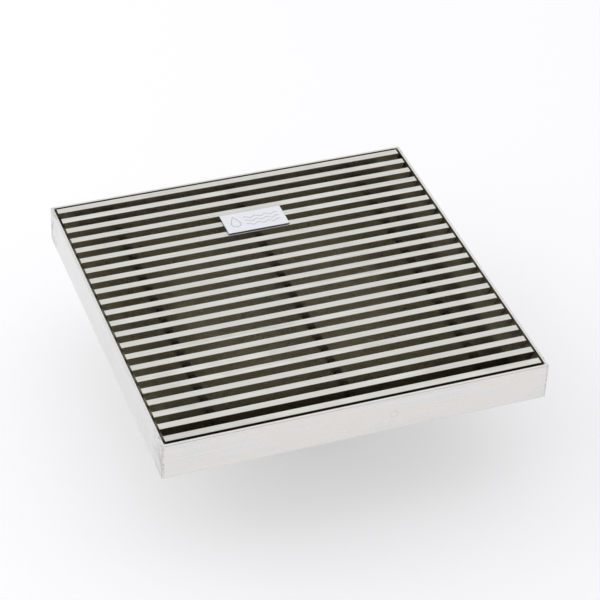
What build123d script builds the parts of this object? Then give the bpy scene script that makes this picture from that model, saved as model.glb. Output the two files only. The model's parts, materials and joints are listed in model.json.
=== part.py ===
"""Square bathroom floor drain: a folded steel tray with a lift-out bar grate and a small bell trap.

Millimetres, +Z up.  The origin is the centre of the outlet pipe's lower rim, on which the drain
stands, so the whole drain is above z = 0.  The grate's bars run along X, the front is -Y.
"""
import os

from build123d import *

# ---------------------------------------------------------------- driving dimensions
tray_side = 150.0           # outside of the square frame
tray_height = 15.5          # outside height of the folded wall
sheet = 1.2                 # tray sheet thickness
tray_base_z = 43.0          # underside of the tray above the pipe's lower rim
lip_round = 0.35            # outer top edge of the wall
lip_break = 0.12            # inner top edge of the wall

bar_count = 22
bar_width = 3.0
bar_height = 7.0
bar_end_gap = 0.8           # each end of a bar to the wall
front_gap = 1.3             # first bar to the front wall: the grate sits a little to the back
back_gap = 0.8
bar_end_face = 0.3          # square part of a bar's end, above its undercut
bar_end_slope = 0.42        # how far the undercut runs inwards for each unit down
edge_break = 0.2            # top edges of the bars

rod_radius = 1.5
rod_drop = 3.3              # rod axis below the top of the bars
rod_spacing = 52.0
rod_fit = 0.05              # radial gap between a rod and its holes

plate_length = 25.5
plate_width = 12.3
plate_thickness = 0.6
plate_corner = 0.4          # radius of its corners
plate_edge = 0.1            # radius of its top edge
plate_back_margin = 25.1    # plate's back edge to the inside of the back wall
adhesive_thickness = 0.2
adhesive_inset = 0.5

ledge_width = 8.0
ledge_sheet = 1.0
ledge_end_gap = 1.3

pipe_radius = 24.0
pipe_wall = 1.4
pipe_length = 13.0          # full-size part of the spigot, below its neck
neck_radius = 23.4
weir_radius = 22.6
weir_wall = 1.2
weir_z = 34.0               # the weir's upper rim, which sets the water level
bowl_radius = 38.0
bowl_sheet = 1.0
bowl_base_z = 16.0
bowl_corner = 6.0
flange_radius = 43.5
bead = 1.2                  # leg of the ring welds
corner_bead = 1.0           # radius of the inner corner welds
washer_radius = 30.0
washer_thickness = 2.0
washer_fit = 0.1            # radial gap between the washer and the neck

bell_radius = 30.5
bell_wall = 1.4
bell_rim_z = 20.0
bell_top_z = 38.7
bell_rib_count = 4
bell_rib_width = 1.6
bell_knob_radius = 6.0
bell_knob_height = 3.2
bell_knob_waist = 4.2       # radius half way up
bell_knob_edge = 1.0        # width of the slope round its top
bell_shoulder = 2.8         # rounding of the bell's top edge

strainer_radius = 42.0
strainer_sheet = 1.0
strainer_round = 0.33       # top edge of the disc
strainer_lip_radius = 36.4
strainer_lip_depth = 2.0
strainer_hole = 1.8
strainer_rings = ((13.0, 8), (19.5, 14), (26.0, 20), (32.5, 26))
knob_radius = 7.0
knob_neck_radius = 3.5
knob_height = 5.2
knob_flare_height = 3.64    # where the waisted neck reaches the full radius
knob_chamfer = 0.4
rivet_radius = 1.5
rivet_head_radius = 3.0
rivet_head_height = 0.6

# ---------------------------------------------------------------- worked out from them
half = tray_side / 2
inside = half - sheet
top_z = tray_base_z + tray_height
floor_z = tray_base_z + sheet
bar_base_z = top_z - bar_height
bar_half_length = inside - bar_end_gap
first_bar_y = -inside + front_gap + bar_width / 2
last_bar_y = inside - back_gap - bar_width / 2
bar_pitch = (last_bar_y - first_bar_y) / (bar_count - 1)
rod_z = top_z - rod_drop
rods = {"cross_rod_left": -rod_spacing, "cross_rod_middle": 0.0, "cross_rod_right": rod_spacing}
bowl_inner_radius = bowl_radius - bowl_sheet
bell_inner_radius = bell_radius - bell_wall
ledge_top_z = bar_base_z


def save(piece, label):
    """Label a finished piece and write it as its own node."""
    piece.label = label
    export_step(piece, f"parts/{label}.step")


os.makedirs("parts", exist_ok=True)

# ---------------------------------------------------------------- the fixed frame
# Tray: four walls folded up from a flat floor with a round hole over the trap.
with BuildPart() as tray:
    with BuildSketch(Plane.XY.offset(tray_base_z)):
        RectangleRounded(tray_side, tray_side, sheet / 2)
    extrude(amount=tray_height)
    fillet(tray.edges().group_by(Axis.Z)[0], radius=sheet / 2)
    fillet(tray.edges().group_by(Axis.Z)[-1], radius=lip_round)
    with BuildSketch(Plane.XY.offset(floor_z)):
        Rectangle(2 * inside, 2 * inside)
    extrude(amount=tray_height, mode=Mode.SUBTRACT)
    rim_edges = tray.edges().group_by(Axis.Z)[-1].filter_by(GeomType.LINE)
    chamfer(rim_edges.sort_by(SortBy.DISTANCE)[:4], length=lip_break)
    with BuildSketch(Plane.XY.offset(tray_base_z)):
        Circle(bowl_inner_radius)
    extrude(amount=sheet, mode=Mode.SUBTRACT)
save(tray.part, "tray")

# Corner welds: one small vertical bead inside each corner where the folded walls meet.
with BuildPart() as corner_welds:
    with BuildSketch(Plane.XY.offset(floor_z)):
        with Locations(*[(sx * (inside - corner_bead / 2), sy * (inside - corner_bead / 2))
                         for sx in (-1, 1) for sy in (-1, 1)]):
            Rectangle(corner_bead, corner_bead)
        with Locations(*[(sx * (inside - corner_bead), sy * (inside - corner_bead))
                         for sx in (-1, 1) for sy in (-1, 1)]):
            Circle(corner_bead, mode=Mode.SUBTRACT)
    extrude(amount=top_z - edge_break - floor_z)
save(corner_welds.part, "corner_welds")

# Ledges: an angle strip on each side wall, whose shelf carries the ends of the bars.
for label, side in (("ledge_left", -1), ("ledge_right", 1)):
    with BuildPart() as ledge:
        with BuildSketch(Plane.XZ.offset(-inside + ledge_end_gap)):
            with BuildLine():
                Polyline(
                    (side * inside, floor_z),
                    (side * inside, ledge_top_z),
                    (side * (inside - ledge_width), ledge_top_z),
                    (side * (inside - ledge_width), ledge_top_z - ledge_sheet),
                    (side * (inside - ledge_sheet), ledge_top_z - ledge_sheet),
                    (side * (inside - ledge_sheet), floor_z),
                    close=True,
                )
            make_face()
        extrude(amount=2 * (inside - ledge_end_gap))
    save(ledge.part, label)

# Trap bowl: a drawn cup under the tray's hole, with a flange against the tray's underside.
with BuildPart() as bowl_space:
    with BuildSketch(Plane.XY.offset(bowl_base_z + bowl_sheet)):
        Circle(bowl_inner_radius)
    extrude(amount=tray_base_z - bowl_base_z)
    fillet(bowl_space.edges().group_by(Axis.Z)[0], radius=bowl_corner - bowl_sheet)

with BuildPart() as trap_bowl:
    with BuildSketch(Plane.XY.offset(bowl_base_z)):
        Circle(bowl_radius)
    extrude(amount=tray_base_z - bowl_base_z)
    fillet(trap_bowl.edges().group_by(Axis.Z)[0], radius=bowl_corner)
    with BuildSketch(Plane.XY.offset(tray_base_z - bowl_sheet)):
        Circle(flange_radius)
    extrude(amount=bowl_sheet)
    add(bowl_space.part, mode=Mode.SUBTRACT)
    with BuildSketch(Plane.XY.offset(bowl_base_z)):
        Circle(weir_radius)
    extrude(amount=bowl_sheet, mode=Mode.SUBTRACT)
save(trap_bowl.part, "trap_bowl")

# Outlet pipe: the spigot below the bowl, turned down at its top to a neck for the washer.
with BuildPart() as outlet_pipe:
    with BuildSketch():
        Circle(pipe_radius)
    extrude(amount=pipe_length)
    with BuildSketch(Plane.XY.offset(pipe_length)):
        Circle(neck_radius)
    extrude(amount=bowl_base_z - pipe_length)
    with BuildSketch():
        Circle(pipe_radius - pipe_wall)
    extrude(amount=bowl_base_z, mode=Mode.SUBTRACT)
save(outlet_pipe.part, "outlet_pipe")

# Weir pipe: stands in the hole in the bowl's floor and holds the water back up to its rim.
with BuildPart() as weir_pipe:
    with BuildSketch(Plane.XY.offset(bowl_base_z)):
        Circle(weir_radius)
        Circle(weir_radius - weir_wall, mode=Mode.SUBTRACT)
    extrude(amount=weir_z - bowl_base_z)
save(weir_pipe.part, "weir_pipe")

# Ring welds: bowl flange to tray underside, and weir pipe to the bowl's floor.
for label, radius, z, drop in (
    ("flange_weld", flange_radius, tray_base_z, -bead),
    ("weir_weld", weir_radius, bowl_base_z + bowl_sheet, bead),
):
    with BuildPart() as ring_weld:
        with BuildSketch(Plane.XZ):
            with BuildLine():
                Polyline((radius, z), (radius + bead, z), (radius, z + drop), close=True)
            make_face()
        revolve(axis=Axis.Z)
    save(ring_weld.part, label)

# Pipe washer: a flat rubber ring under the bowl that seals on the mouth of the waste pipe.
with BuildPart() as pipe_washer:
    with BuildSketch(Plane.XY.offset(bowl_base_z - washer_thickness)):
        Circle(washer_radius)
        Circle(neck_radius + washer_fit, mode=Mode.SUBTRACT)
    extrude(amount=washer_thickness)
save(pipe_washer.part, "pipe_washer")

# ---------------------------------------------------------------- the lift-out bell trap
# Bell: an upturned cup over the weir pipe; the ribs inside it rest on the weir's rim.
with BuildPart() as bell_cap:
    with BuildSketch(Plane.XY.offset(bell_rim_z)):
        Circle(bell_radius)
    extrude(amount=bell_top_z - bell_rim_z)
    fillet(bell_cap.edges().group_by(Axis.Z)[-1], radius=bell_shoulder)
    with BuildSketch(Plane.XY.offset(bell_rim_z)):
        Circle(bell_inner_radius)
    extrude(amount=bell_top_z - bell_wall - bell_rim_z, mode=Mode.SUBTRACT)
    with BuildSketch(Plane.XY.offset(weir_z)):
        with PolarLocations(0, bell_rib_count // 2, angular_range=180):
            Rectangle(2 * (bell_inner_radius + bell_wall / 2), bell_rib_width)
    extrude(amount=bell_top_z - bell_wall - weir_z)
save(bell_cap.part, "bell_cap")

# Bell knob: a low waisted button for pulling the bell out.
with BuildPart() as bell_knob:
    with BuildSketch(Plane.XZ):
        with BuildLine():
            foot = Line((0, bell_top_z), (bell_knob_radius, bell_top_z))
            waist = ThreePointArc(
                foot @ 1,
                (bell_knob_waist, bell_top_z + bell_knob_height / 2),
                (bell_knob_radius, bell_top_z + bell_knob_height - edge_break),
            )
            crown = Line(waist @ 1, (bell_knob_radius - bell_knob_edge, bell_top_z + bell_knob_height))
            lid = Line(crown @ 1, (0, bell_top_z + bell_knob_height))
            Line(lid @ 1, foot @ 0)
        make_face()
    revolve(axis=Axis.Z)
save(bell_knob.part, "bell_knob")

# ---------------------------------------------------------------- the lift-out hair strainer
strainer_top_z = floor_z + strainer_sheet

# Strainer: a perforated disc on the tray floor, located in the bowl's mouth by a turned-down lip.
with BuildPart() as strainer:
    with BuildSketch(Plane.XY.offset(floor_z)):
        Circle(strainer_radius)
    extrude(amount=strainer_sheet)
    fillet(strainer.edges().group_by(Axis.Z)[-1], radius=strainer_round)
    with BuildSketch(Plane.XY.offset(floor_z - strainer_lip_depth)):
        Circle(strainer_lip_radius)
        Circle(strainer_lip_radius - strainer_sheet, mode=Mode.SUBTRACT)
    extrude(amount=strainer_lip_depth)
    with BuildSketch(Plane.XY.offset(floor_z)):
        for ring_radius, hole_count in strainer_rings:
            with PolarLocations(ring_radius, hole_count):
                Circle(strainer_hole)
        Circle(rivet_radius)
    extrude(amount=strainer_sheet, mode=Mode.SUBTRACT)
save(strainer.part, "strainer")

# Strainer knob: a turned button on the disc, held by a rivet from below.
with BuildPart() as strainer_knob:
    with BuildSketch(Plane.XZ):
        with BuildLine():
            base = Line((rivet_radius, strainer_top_z), (knob_neck_radius, strainer_top_z))
            neck = Line(base @ 1, (knob_neck_radius, strainer_top_z + knob_height / 2))
            flare = Line(neck @ 1, (knob_radius, strainer_top_z + knob_flare_height))
            rim = Line(flare @ 1, (knob_radius, strainer_top_z + knob_height - knob_chamfer))
            brow = Line(rim @ 1, (knob_radius - knob_chamfer, strainer_top_z + knob_height))
            crest = Line(brow @ 1, (0, strainer_top_z + knob_height))
            core = Line(crest @ 1, (0, strainer_top_z + knob_height / 2))
            socket = Line(core @ 1, (rivet_radius, strainer_top_z + knob_height / 2))
            Line(socket @ 1, base @ 0)
        make_face()
    revolve(axis=Axis.Z)
save(strainer_knob.part, "strainer_knob")

with BuildPart() as strainer_rivet:
    with BuildSketch(Plane.XY.offset(floor_z - rivet_head_height)):
        Circle(rivet_head_radius)
    extrude(amount=rivet_head_height)
    fillet(strainer_rivet.edges().group_by(Axis.Z)[0], radius=rivet_head_height / 2)
    with BuildSketch(Plane.XY.offset(floor_z)):
        Circle(rivet_radius)
    extrude(amount=strainer_sheet + knob_height / 2)
save(strainer_rivet.part, "strainer_rivet")

# ---------------------------------------------------------------- the lift-out grate
# Bars: flat on top, undercut at both ends, drilled for the cross rods.
undercut = (bar_height - bar_end_face) * bar_end_slope
for number in range(bar_count):
    centre_y = first_bar_y + number * bar_pitch
    with BuildPart() as bar:
        with BuildSketch(Plane.XZ.offset(-centre_y)):
            with BuildLine():
                Polyline(
                    (-bar_half_length, top_z),
                    (bar_half_length, top_z),
                    (bar_half_length, top_z - bar_end_face),
                    (bar_half_length - undercut, bar_base_z),
                    (-bar_half_length + undercut, bar_base_z),
                    (-bar_half_length, top_z - bar_end_face),
                    close=True,
                )
            make_face()
            with Locations(*[(x, rod_z) for x in rods.values()]):
                Circle(rod_radius + rod_fit, mode=Mode.SUBTRACT)
        extrude(amount=bar_width / 2, both=True)
        fillet(bar.edges().group_by(Axis.Z)[-1], radius=edge_break)
    save(bar.part, f"bar_{number + 1:02d}")

# Cross rods: three round rods through all the bars, ground flush with the outer faces.
rod_front_y = first_bar_y - bar_width / 2
rod_back_y = last_bar_y + bar_width / 2
for label, x in rods.items():
    with BuildPart() as cross_rod:
        with BuildSketch(Plane.XZ.offset(-rod_back_y)):
            with Locations((x, rod_z)):
                Circle(rod_radius)
        extrude(amount=rod_back_y - rod_front_y)
    save(cross_rod.part, label)

# Nameplate: a small blank plate on a thin adhesive pad, lying across two bars near the back.
plate_y = inside - plate_back_margin - plate_width / 2
plate_z = top_z + adhesive_thickness
with BuildPart() as nameplate_adhesive:
    with BuildSketch(Plane.XY.offset(top_z)):
        with Locations((0, plate_y)):
            Rectangle(plate_length - 2 * adhesive_inset, plate_width - 2 * adhesive_inset)
    extrude(amount=adhesive_thickness)
save(nameplate_adhesive.part, "nameplate_adhesive")

with BuildPart() as nameplate:
    with BuildSketch(Plane.XY.offset(plate_z)):
        with Locations((0, plate_y)):
            RectangleRounded(plate_length, plate_width, plate_corner)
    extrude(amount=plate_thickness)
    fillet(nameplate.edges().group_by(Axis.Z)[-1], radius=plate_edge)
save(nameplate.part, "nameplate")
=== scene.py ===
"""Floor drain with a lift-out bar grate: looks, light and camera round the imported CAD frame.

Metres, in the row's frame.  The grate's bars run along X and the front edge is towards -Y.
"""
import json
from math import cos, hypot, pi, radians, sin, sqrt

import bpy
import bmesh
from mathutils import Matrix, Vector


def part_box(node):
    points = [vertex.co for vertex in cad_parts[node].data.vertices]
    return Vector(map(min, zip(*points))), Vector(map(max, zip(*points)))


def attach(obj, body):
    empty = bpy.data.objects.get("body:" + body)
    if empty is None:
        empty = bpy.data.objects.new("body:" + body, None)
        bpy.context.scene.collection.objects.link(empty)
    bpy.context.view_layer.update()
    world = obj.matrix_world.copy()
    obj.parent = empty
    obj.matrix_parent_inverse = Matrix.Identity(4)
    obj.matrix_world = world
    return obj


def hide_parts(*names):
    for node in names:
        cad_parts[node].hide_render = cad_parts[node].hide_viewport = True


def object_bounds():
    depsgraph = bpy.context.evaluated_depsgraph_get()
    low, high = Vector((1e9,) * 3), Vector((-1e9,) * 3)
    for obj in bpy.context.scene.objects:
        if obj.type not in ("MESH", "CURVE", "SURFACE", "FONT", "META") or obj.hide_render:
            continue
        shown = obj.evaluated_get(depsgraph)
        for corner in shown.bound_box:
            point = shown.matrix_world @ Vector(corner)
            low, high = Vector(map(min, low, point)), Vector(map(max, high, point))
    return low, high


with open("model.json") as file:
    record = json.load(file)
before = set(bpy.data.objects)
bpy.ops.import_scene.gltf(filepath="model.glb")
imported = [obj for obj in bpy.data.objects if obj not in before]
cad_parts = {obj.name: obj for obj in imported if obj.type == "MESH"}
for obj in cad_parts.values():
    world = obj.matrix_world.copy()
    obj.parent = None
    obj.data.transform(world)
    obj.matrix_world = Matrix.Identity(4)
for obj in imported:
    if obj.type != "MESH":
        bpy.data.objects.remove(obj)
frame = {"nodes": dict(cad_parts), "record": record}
cad_low, cad_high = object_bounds()

MM = 0.001


# ---------------------------------------------------------------- places, read from the frame
tray_low, tray_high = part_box("tray")
plate_low, plate_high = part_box("nameplate")
TOP_Z = tray_high.z
TRAY_HALF = tray_high.x
TRAY_HEIGHT = tray_high.z - tray_low.z
INNER_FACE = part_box("ledge_right")[1].x     # the ledges are welded to the walls' inner faces
BAR_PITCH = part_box("bar_02")[0].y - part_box("bar_01")[0].y
FIRST_GAP_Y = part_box("bar_02")[0].y
SPOT_PLACE = (13.5 * MM, tray_low.y, TOP_Z - 0.5 * TRAY_HEIGHT)


# ---------------------------------------------------------------- camera
AIM_Y = -10.75 * MM             # where the view's centre meets the top of the grate
VIEW_DISTANCE = 0.8738
VIEW_AZIMUTH = -21.66           # degrees, from straight in front
VIEW_ELEVATION = 38.15
VIEW_ROLL = 2.727
LENS = 137.5                    # on a 36 mm sensor


def make_camera():
    """The camera at the left front, above the drain, with a long lens."""
    data = bpy.data.cameras.new("camera")
    data.lens = LENS
    data.sensor_width = 36
    data.clip_start = 0.01
    data.clip_end = 20
    azimuth, elevation, roll = map(radians, (VIEW_AZIMUTH, VIEW_ELEVATION, VIEW_ROLL))
    back = Vector((sin(azimuth) * cos(elevation), -cos(azimuth) * cos(elevation), sin(elevation)))
    level = Vector((0, 0, 1)).cross(back).normalized()
    rise = back.cross(level)
    right = cos(roll) * level + sin(roll) * rise
    up = back.cross(right)
    camera = bpy.data.objects.new("camera", data)
    camera.matrix_world = (
        Matrix.Translation(Vector((0, AIM_Y, TOP_Z)) + back * VIEW_DISTANCE)
        @ Matrix((right, up, back)).transposed().to_4x4()
    )
    bpy.context.collection.objects.link(camera)
    bpy.context.scene.camera = camera


# ---------------------------------------------------------------- light and floor
SURROUND_COLOUR = (1.0, 1.0, 1.0, 1)
SURROUND_LEVEL = 0.95
SURROUND_FRONT = 0.50           # level at the horizon behind the camera
FRONT_SPAN = (-0.85, -0.10)     # the Y of a direction, over which the front level takes over
SURROUND_HORIZON = 0.55         # share of the level that is left at the horizon
HORIZON_SPAN = (0.0, 0.3)       # the Z of a direction, over which that share ends
SOFTBOX_SIZE = 1.0
SOFTBOXES = (                   # name, place, power in watts, mirrored in the steel
    ("softbox_left", (-1.0, -0.1, 0.7), 2.0, True),
    ("softbox_back", (-0.76, 0.74, 0.62), 2.3, False),
)
FLOOR_SIZE = 6
FLOOR_TONE = (0.60, 0.60, 0.615)
FLOOR_LIGHT = (0.985, 0.98, 1.0)
FLOOR_GLOW = 0.407              # the white table is lit from below as well


def area_light(name, place, target, size, power, mirrored):
    """A square soft light at a place, facing a target; polished steel may mirror it."""
    data = bpy.data.lights.new(name, "AREA")
    data.shape = "SQUARE"
    data.size = size
    data.energy = power
    light = bpy.data.objects.new(name, data)
    light.location = place
    light.visible_glossy = mirrored
    light.rotation_euler = (Vector(place) - Vector(target)).to_track_quat("Z", "Y").to_euler()
    bpy.context.collection.objects.link(light)


def make_light():
    """A white surround, darker at the front and low down, and two softboxes at the left."""
    world = bpy.data.worlds.new("surround")
    world.use_nodes = True
    nodes, links = world.node_tree.nodes, world.node_tree.links
    background = nodes["Background"]
    background.inputs["Color"].default_value = SURROUND_COLOUR
    place = nodes.new("ShaderNodeTexCoord")
    split = nodes.new("ShaderNodeSeparateXYZ")
    links.new(place.outputs["Generated"], split.inputs["Vector"])

    def ramp(axis, span, low, high):
        """A strength that runs from low to high over a span of the direction's axis."""
        node = nodes.new("ShaderNodeMapRange")
        node.inputs["From Min"].default_value, node.inputs["From Max"].default_value = span
        node.inputs["To Min"].default_value = low
        node.inputs["To Max"].default_value = high
        links.new(split.outputs[axis], node.inputs["Value"])
        return node.outputs["Result"]

    level = nodes.new("ShaderNodeMath")
    level.operation = "MULTIPLY"
    links.new(ramp("Y", FRONT_SPAN, SURROUND_FRONT, SURROUND_LEVEL), level.inputs[0])
    links.new(ramp("Z", HORIZON_SPAN, SURROUND_HORIZON, 1.0), level.inputs[1])
    links.new(level.outputs["Value"], background.inputs["Strength"])
    bpy.context.scene.world = world
    for name, spot, power, mirrored in SOFTBOXES:
        area_light(name, spot, (0, 0, TOP_Z), SOFTBOX_SIZE, power, mirrored)
    bpy.context.scene.view_settings.view_transform = "Standard"


def make_floor():
    """A plain pale floor, level with the rim that the drain stands on."""
    mesh = bpy.data.meshes.new("floor")
    shape = bmesh.new()
    bmesh.ops.create_grid(shape, x_segments=1, y_segments=1, size=FLOOR_SIZE)
    shape.to_mesh(mesh)
    shape.free()
    floor = bpy.data.objects.new("floor", mesh)
    floor.location.z = cad_low.z
    bpy.context.collection.objects.link(floor)
    paper = Surface("floor_paper")
    paper.set(metallic=0.0, roughness=0.9, base=FLOOR_TONE)
    paper.shader.inputs["Emission Color"].default_value = (*FLOOR_LIGHT, 1)
    paper.shader.inputs["Emission Strength"].default_value = FLOOR_GLOW
    grain = paper.noise((400, 400, 400), detail=4)
    paper.bump(grain, 0.03, 0.1 * MM)
    mesh.materials.append(paper.material)


# ---------------------------------------------------------------- procedural materials
class Surface:
    """A Principled material with short ways to add object-space patterns to it."""

    def __init__(self, name):
        self.material = bpy.data.materials.new(name)
        self.material.use_nodes = True
        self.nodes = self.material.node_tree.nodes
        self.links = self.material.node_tree.links
        self.shader = self.nodes["Principled BSDF"]
        self.place = self.nodes.new("ShaderNodeTexCoord")
        self.height = None

    def set(self, base=None, metallic=None, roughness=None):
        """Uniform values, straight on the shader's sockets."""
        if base is not None:
            self.shader.inputs["Base Color"].default_value = (*base, 1)
        if metallic is not None:
            self.shader.inputs["Metallic"].default_value = metallic
        if roughness is not None:
            self.shader.inputs["Roughness"].default_value = roughness

    def noise(self, scale, detail=3.0, roughness=0.5, distortion=0.0, shift=(0, 0, 0)):
        """Noise with its own number of features per metre along each axis."""
        mapping = self.nodes.new("ShaderNodeMapping")
        mapping.inputs["Scale"].default_value = scale
        mapping.inputs["Location"].default_value = shift
        self.links.new(self.place.outputs["Object"], mapping.inputs["Vector"])
        noise = self.nodes.new("ShaderNodeTexNoise")
        noise.inputs["Scale"].default_value = 1.0
        noise.inputs["Detail"].default_value = detail
        noise.inputs["Roughness"].default_value = roughness
        noise.inputs["Distortion"].default_value = distortion
        self.links.new(mapping.outputs["Vector"], noise.inputs["Vector"])
        return noise.outputs["Fac"]

    def axis(self, index, source="Object"):
        """One coordinate of the object-space place or normal."""
        split = self.nodes.new("ShaderNodeSeparateXYZ")
        self.links.new(self.place.outputs[source], split.inputs["Vector"])
        return split.outputs[index]

    def spread(self, value, low, high, to_low=0.0, to_high=1.0):
        """Maps a value's range from low..high to to_low..to_high, smoothly and clamped."""
        span = self.nodes.new("ShaderNodeMapRange")
        span.interpolation_type = "SMOOTHSTEP"
        span.inputs["From Min"].default_value = low
        span.inputs["From Max"].default_value = high
        span.inputs["To Min"].default_value = to_low
        span.inputs["To Max"].default_value = to_high
        self.links.new(value, span.inputs["Value"])
        return span.outputs["Result"]

    def maths(self, operation, first, second):
        """A maths node on two values, each a socket or a number."""
        node = self.nodes.new("ShaderNodeMath")
        node.operation = operation
        for socket, value in zip(node.inputs, (first, second)):
            if isinstance(value, (int, float)):
                socket.default_value = value
            else:
                self.links.new(value, socket)
        return node.outputs["Value"]

    def magnitude(self, value):
        """The value without its sign."""
        return self.maths("ABSOLUTE", value, 0)

    def level(self, number):
        """A plain number as a socket."""
        node = self.nodes.new("ShaderNodeValue")
        node.outputs["Value"].default_value = number
        return node.outputs["Value"]

    def linked(self, name):
        """The socket that already feeds one of the shader's inputs."""
        return self.shader.inputs[name].links[0].from_socket

    def blend(self, factor, first, second):
        """Mixes two number sockets by a factor."""
        mix = self.nodes.new("ShaderNodeMix")
        for socket, value in zip(mix.inputs, (factor, None, first, second)):
            if value is not None:
                self.links.new(value, socket)
        return mix.outputs["Result"]

    def tint(self, factor, first, second):
        """Mixes two colours, each a socket or a triple, by a factor."""
        mix = self.nodes.new("ShaderNodeMix")
        mix.data_type = "RGBA"
        self.links.new(factor, mix.inputs[0])
        for socket, value in ((mix.inputs[6], first), (mix.inputs[7], second)):
            if isinstance(value, tuple):
                socket.default_value = (*value, 1)
            else:
                self.links.new(value, socket)
        return mix.outputs[2]

    def colour(self, value):
        self.links.new(value, self.shader.inputs["Base Color"])

    def roughness(self, value):
        self.links.new(value, self.shader.inputs["Roughness"])

    def bump(self, height, strength, distance):
        """Adds a bump on top of any earlier one."""
        node = self.nodes.new("ShaderNodeBump")
        node.inputs["Strength"].default_value = strength
        node.inputs["Distance"].default_value = distance
        self.links.new(height, node.inputs["Height"])
        if self.height is not None:
            self.links.new(self.height, node.inputs["Normal"])
        self.height = node.outputs["Normal"]
        self.links.new(self.height, self.shader.inputs["Normal"])


MILL_LIGHT = (0.78, 0.75, 0.665)    # bare mill finish on the bars' sides
MILL_DARK = (0.735, 0.705, 0.615)
MILL_FIRST_GAP_SHADE = (0.40, 0.38, 0.31)     # the same mill finish, painted darker as shade in the gap behind the first bar
MILL_INNER_SHADE = (0.40, 0.385, 0.33)    # and on the tray's inside, painted darker as shade under the grate
SPOT_RADIUS = 1.5 * MM
MARK_DEPTH = 0.16 * MM          # engraving on the nameplate
GROUND_WIDTH = 14 * MM          # how far the corner grinding reaches along a wall
GROUND_FULL = 2 * MM            # and where it is strongest
SEAM_NARROW = 0.3 * MM          # the corner seam's uneven half width
SEAM_WIDE = 1.3 * MM
FINE_GRAIN = 5200               # brush lines per metre across the grain
LONG_GRAIN = 45                 # and along it


def grain_scale(direction, fine=FINE_GRAIN, long=LONG_GRAIN):
    """Noise scale for brush lines that run along one axis."""
    return tuple(long if axis == direction else fine for axis in "XYZ")


def brushed(name, direction, light, dark, roughness, bump=0.10):
    """Stainless steel brushed along one axis, with faint blotches."""
    steel = Surface(name)
    steel.set(metallic=1.0)
    lines = steel.noise(grain_scale(direction), detail=4, roughness=0.6)
    streaks = steel.noise(grain_scale(direction, 1300, 12), detail=3)
    blotch = steel.noise((55, 55, 55), detail=3, roughness=0.6)
    tone = steel.maths("ADD", steel.maths("MULTIPLY", streaks, 0.5), steel.maths("MULTIPLY", blotch, 0.5))
    steel.colour(steel.tint(steel.spread(tone, 0.35, 0.65), dark, light))
    line_gloss = steel.spread(lines, 0.3, 0.7, -0.06, 0.06)
    blotch_gloss = steel.spread(blotch, 0.3, 0.7, -0.05, 0.05)
    steel.roughness(steel.maths("ADD", steel.maths("ADD", line_gloss, blotch_gloss), roughness))
    steel.bump(lines, bump, 0.03 * MM)
    return steel


def bar_steel():
    """Bar stock: the top is brushed along its length, the sides are darker mill finish, with painted
    shade on the sides round the first gap.
    """
    steel = brushed("bar_steel", "X", (0.81, 0.80, 0.76), (0.60, 0.59, 0.55), 0.33)
    each_bar = steel.spread(steel.noise((7, 1 / BAR_PITCH, 0), detail=1), 0.3, 0.7)
    polished = steel.tint(each_bar, (0.70, 0.69, 0.65), steel.linked("Base Color"))
    mottle = steel.noise((350, 350, 900), detail=4, roughness=0.6)
    mill_and_gap_shade = steel.tint(steel.spread(mottle, 0.3, 0.7), MILL_DARK, MILL_LIGHT)
    # Painted shade: the first bar and the second bar's front face, which face the shaded first gap, take
    # the darker mill colour.
    clear_of_gap_shade = steel.spread(steel.axis(1), FIRST_GAP_Y, FIRST_GAP_Y + BAR_PITCH)
    mill_and_gap_shade = steel.tint(clear_of_gap_shade, MILL_FIRST_GAP_SHADE, mill_and_gap_shade)
    top = steel.spread(steel.axis(2, "Normal"), 0.35, 0.75)
    steel.colour(steel.tint(top, mill_and_gap_shade, polished))
    side_gloss = steel.spread(mottle, 0.3, 0.7, 0.27, 0.31)
    steel.roughness(steel.blend(top, side_gloss, steel.linked("Roughness")))
    scuffs = steel.noise((900, 900, 900), detail=5, roughness=0.7, distortion=0.8)
    steel.bump(scuffs, 0.05, 0.06 * MM)
    return steel


def water_spot(steel, place, radius):
    """A faint dried ring, from 0 to 1, round a place on a face."""
    offset = steel.nodes.new("ShaderNodeVectorMath")
    offset.operation = "DISTANCE"
    offset.inputs[1].default_value = place
    steel.links.new(steel.place.outputs["Object"], offset.inputs[0])
    inner = steel.spread(offset.outputs["Value"], 0.75 * radius, radius)
    outer = steel.spread(offset.outputs["Value"], radius, 1.25 * radius, 1.0, 0.0)
    return steel.maths("MULTIPLY", inner, outer)


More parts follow.
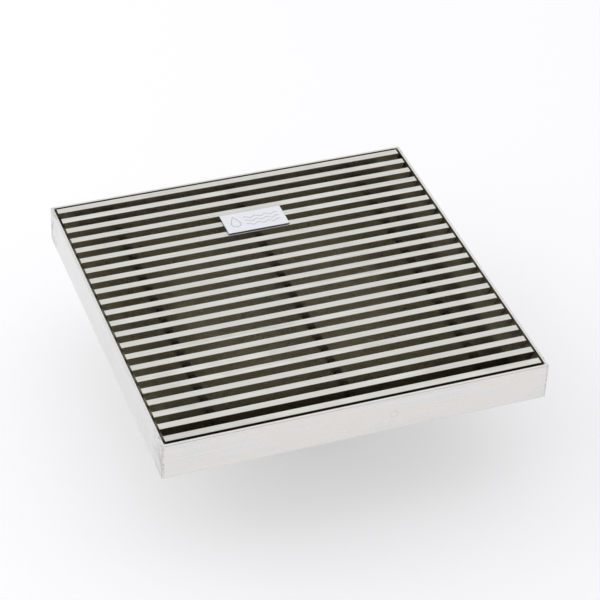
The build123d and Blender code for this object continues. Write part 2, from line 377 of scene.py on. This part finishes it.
def tray_steel():
    """Folded sheet: hand-polished outside with ground corner seams, bare mill finish inside, painted
    darker as shade.
    """
    steel = brushed("tray_steel", "X", (0.80, 0.795, 0.785), (0.735, 0.735, 0.725), 0.31, bump=0.05)
    across = steel.magnitude(steel.axis(0))
    along = steel.magnitude(steel.axis(1))
    reach = steel.maths("MAXIMUM", across, along)
    to_corner = steel.maths("MINIMUM", across, along)

    warm = steel.spread(steel.noise((34, 34, 80), detail=4, roughness=0.65, distortion=0.6), 0.34, 0.64)
    side_wall = steel.maths("GREATER_THAN", across, along)
    warm = steel.maths("MULTIPLY", warm, steel.maths("SUBTRACT", 1.0, side_wall))
    skin = steel.tint(warm, steel.linked("Base Color"), (0.795, 0.765, 0.725))
    ring = steel.maths("MULTIPLY", water_spot(steel, SPOT_PLACE, SPOT_RADIUS), 0.5)
    skin = steel.tint(ring, skin, (0.60, 0.59, 0.57))

    wobble = steel.noise((0, 0, 900), detail=4, roughness=0.7)
    seam_edge = steel.spread(wobble, 0.3, 0.7, TRAY_HALF - SEAM_WIDE, TRAY_HALF - SEAM_NARROW)
    seam = steel.maths("GREATER_THAN", to_corner, seam_edge)
    grit = steel.noise((260, 150, 420), detail=5, roughness=0.7, distortion=1.8)
    seam_tone = steel.tint(steel.spread(grit, 0.4, 0.6), (0.40, 0.39, 0.37), (0.72, 0.71, 0.69))
    skin = steel.tint(steel.maths("MULTIPLY", seam, 0.6), skin, seam_tone)

    ground = steel.spread(to_corner, TRAY_HALF - GROUND_WIDTH, TRAY_HALF - GROUND_FULL)
    smears = steel.maths("MULTIPLY", ground, steel.spread(grit, 0.42, 0.60))
    smears = steel.maths("MULTIPLY", smears, side_wall)
    skin = steel.tint(steel.maths("MULTIPLY", smears, 0.8), skin, (0.46, 0.46, 0.455))
    swirl = steel.noise((300, 300, 480), detail=5, roughness=0.65, distortion=2.0)
    steel.bump(swirl, 0.08, 0.15 * MM)
    steel.bump(steel.maths("MULTIPLY", ground, swirl), 0.5, 0.25 * MM)

    outside = steel.spread(reach, INNER_FACE + 0.05 * MM, INNER_FACE + 0.2 * MM)
    # Painted shade: the tray's inside gets the mill finish darkened as shade under the grate.
    steel.colour(steel.tint(outside, MILL_INNER_SHADE, skin))
    steel.roughness(steel.blend(outside, steel.level(0.2), steel.linked("Roughness")))
    return steel


def plate_steel():
    """Bead-blasted bright plate with dull engraved marks."""
    steel = brushed("plate_steel", "X", (0.86, 0.88, 0.93), (0.82, 0.84, 0.89), 0.30, bump=0.04)
    beads = steel.noise((1700, 1700, 1700), detail=3)
    steel.bump(beads, 0.25, 0.05 * MM)
    proud = steel.spread(steel.axis(2), plate_high.z - 0.7 * MARK_DEPTH, plate_high.z - 0.1 * MARK_DEPTH)
    steel.colour(steel.tint(proud, (0.60, 0.61, 0.64), steel.linked("Base Color")))
    return steel


def plain_steel(name, light, dark, roughness):
    """Cold-drawn or cast-like steel without a grain direction."""
    steel = Surface(name)
    steel.set(metallic=1.0)
    cloud = steel.noise((90, 90, 90), detail=4, roughness=0.6)
    speck = steel.noise((2600, 2600, 2600), detail=3)
    steel.colour(steel.tint(steel.spread(cloud, 0.3, 0.7), dark, light))
    steel.roughness(steel.maths("ADD", steel.spread(speck, 0.3, 0.7, -0.06, 0.06), roughness))
    steel.bump(speck, 0.12, 0.03 * MM)
    return steel


def dull(name, light, dark, roughness, grain):
    """Moulded plastic or rubber with a fine moulded texture."""
    stuff = Surface(name)
    stuff.set(metallic=0.0)
    cloud = stuff.noise((60, 60, 60), detail=3)
    texture = stuff.noise((grain, grain, grain), detail=2)
    stuff.colour(stuff.tint(stuff.spread(cloud, 0.3, 0.7), dark, light))
    stuff.roughness(stuff.maths("ADD", stuff.spread(texture, 0.3, 0.7, -0.08, 0.08), roughness))
    stuff.bump(texture, 0.15, 0.05 * MM)
    return stuff


def materials():
    """One finish for each of the record's material slots."""
    return {
        "bar_steel": bar_steel(),
        # Painted shade: the cross rods' nearly black colour stands for the shade they sit in under the
        # bars.
        "rod_steel": plain_steel("rod_steel", (0.035, 0.032, 0.025), (0.018, 0.016, 0.013), 0.30),
        "plate_steel": plate_steel(),
        "adhesive_pad": dull("adhesive_pad", (0.05, 0.05, 0.05), (0.03, 0.03, 0.03), 0.7, 1500),
        "tray_steel": tray_steel(),
        "weld_steel": plain_steel("weld_steel", (0.66, 0.64, 0.60), (0.50, 0.48, 0.44), 0.36),
        "ledge_steel": brushed("ledge_steel", "Y", (0.34, 0.325, 0.275), (0.27, 0.26, 0.22), 0.42),
        "bowl_steel": plain_steel("bowl_steel", (0.72, 0.71, 0.69), (0.62, 0.61, 0.59), 0.36),
        "pipe_steel": plain_steel("pipe_steel", (0.74, 0.73, 0.71), (0.64, 0.63, 0.61), 0.30),
        "washer_rubber": dull("washer_rubber", (0.035, 0.035, 0.035), (0.02, 0.02, 0.02), 0.75, 1800),
        "bell_plastic": dull("bell_plastic", (0.055, 0.056, 0.06), (0.035, 0.036, 0.04), 0.45, 1200),
        "strainer_steel": brushed("strainer_steel", "X", (0.74, 0.73, 0.71), (0.66, 0.65, 0.63), 0.34),
        "knob_steel": plain_steel("knob_steel", (0.78, 0.77, 0.75), (0.68, 0.67, 0.65), 0.26),
    }


def finish_nodes(finishes):
    """Gives every CAD node the finish of its slot."""
    slots = {part["node"]: part["material_slot"] for part in frame["record"]["subparts"]}
    for name, node in frame["nodes"].items():
        node.data.materials.clear()
        node.data.materials.append(finishes[slots[name]].material)


# ---------------------------------------------------------------- nameplate
PLATE_CELL = 0.12 * MM
PLATE_EDGE = 0.18 * MM          # rounding of the plate's rim
STROKE = 0.32 * MM              # half width of an engraved line
WAVE_LENGTH = 4.2 * MM
WAVE_RISE = 0.55 * MM
WAVE_STEP = 2.3 * MM            # from one wave to the next
DROP_RADIUS = 2.0 * MM
DROP_HEIGHT = 2.2 * DROP_RADIUS     # from the widest place up to the point
DROP_SINK = 0.3 * DROP_RADIUS       # the widest place, below the plate's centre line
DROP_SHARE = 0.62               # shares of half the plate's length: the drop, to the left
WAVE_SHARES = (-0.30, 0.82)     # and the waves' two ends
UPWARD = 0.3                    # faces that look up at least this much are shaded smooth


def from_drop(x, y):
    """Distance from the outline of a water drop with its point upwards."""
    if y > 0:
        narrowing = 1 - y / DROP_HEIGHT
        return abs(x) - DROP_RADIUS * narrowing ** 0.8 if narrowing > 0 else DROP_HEIGHT
    return hypot(x, y) - DROP_RADIUS


def mark_depth(x, y):
    """Engraving below the plate's top at a place measured from its centre."""
    half_length = (plate_high.x - plate_low.x) / 2
    nearest = abs(from_drop(x + DROP_SHARE * half_length, y + DROP_SINK))
    if WAVE_SHARES[0] * half_length < x < WAVE_SHARES[1] * half_length:
        ripple = WAVE_RISE * sin(2 * pi * x / WAVE_LENGTH)
        for row in (-1, 0, 1):
            nearest = min(nearest, abs(y - ripple - row * WAVE_STEP))
    return MARK_DEPTH * max(0.0, 1 - (nearest / STROKE) ** 2)


def rim_fall(x, y, half_length, half_width):
    """How far the plate's rounded rim drops below its top."""
    inset = min(half_length - abs(x), half_width - abs(y))
    if inset >= PLATE_EDGE:
        return 0.0
    return PLATE_EDGE - sqrt(max(0.0, PLATE_EDGE ** 2 - (PLATE_EDGE - inset) ** 2))


def ring_order(vertices):
    """The vertices of one closed boundary, in order round it."""
    wanted = set(vertices)
    ring = [vertices[0]]
    while len(ring) < len(vertices):
        linked = (edge.other_vert(ring[-1]) for edge in ring[-1].link_edges)
        ring.append(next(vertex for vertex in linked if vertex in wanted and vertex not in ring[-2:]))
    return ring


def make_nameplate(finish):
    """The small plate: rounded rim, an engraved water drop and three plain waves."""
    centre = (plate_low + plate_high) / 2
    half_length = (plate_high.x - plate_low.x) / 2
    half_width = (plate_high.y - plate_low.y) / 2
    columns = round(2 * half_length / PLATE_CELL)
    rows = round(2 * half_width / PLATE_CELL)
    shape = bmesh.new()
    grid = []
    for row in range(rows + 1):
        y = -half_width + 2 * half_width * row / rows
        line = []
        for column in range(columns + 1):
            x = -half_length + 2 * half_length * column / columns
            fall = rim_fall(x, y, half_length, half_width) + mark_depth(x, y)
            line.append(shape.verts.new((centre.x + x, centre.y + y, plate_high.z - fall)))
        grid.append(line)
    for lower, upper in zip(grid, grid[1:]):
        for index in range(columns):
            shape.faces.new((lower[index], lower[index + 1], upper[index + 1], upper[index]))
    rim = [edge for edge in shape.edges if edge.is_boundary]
    skirt = bmesh.ops.extrude_edge_only(shape, edges=rim)["geom"]
    foot = [item for item in skirt if isinstance(item, bmesh.types.BMVert)]
    for vertex in foot:
        vertex.co.z = plate_low.z
    shape.faces.new(ring_order(foot))
    bmesh.ops.recalc_face_normals(shape, faces=shape.faces)
    mesh = bpy.data.meshes.new("nameplate_face")
    shape.to_mesh(mesh)
    shape.free()
    for face in mesh.polygons:
        face.use_smooth = face.normal.z > UPWARD
    plate = bpy.data.objects.new("nameplate_face", mesh)
    bpy.context.collection.objects.link(plate)
    mesh.materials.append(finish.material)
    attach(plate, "grate")
    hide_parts("nameplate")


# ---------------------------------------------------------------- the scene
finishes = materials()
make_camera()
make_light()
make_floor()
finish_nodes(finishes)
make_nameplate(finishes["plate_steel"])
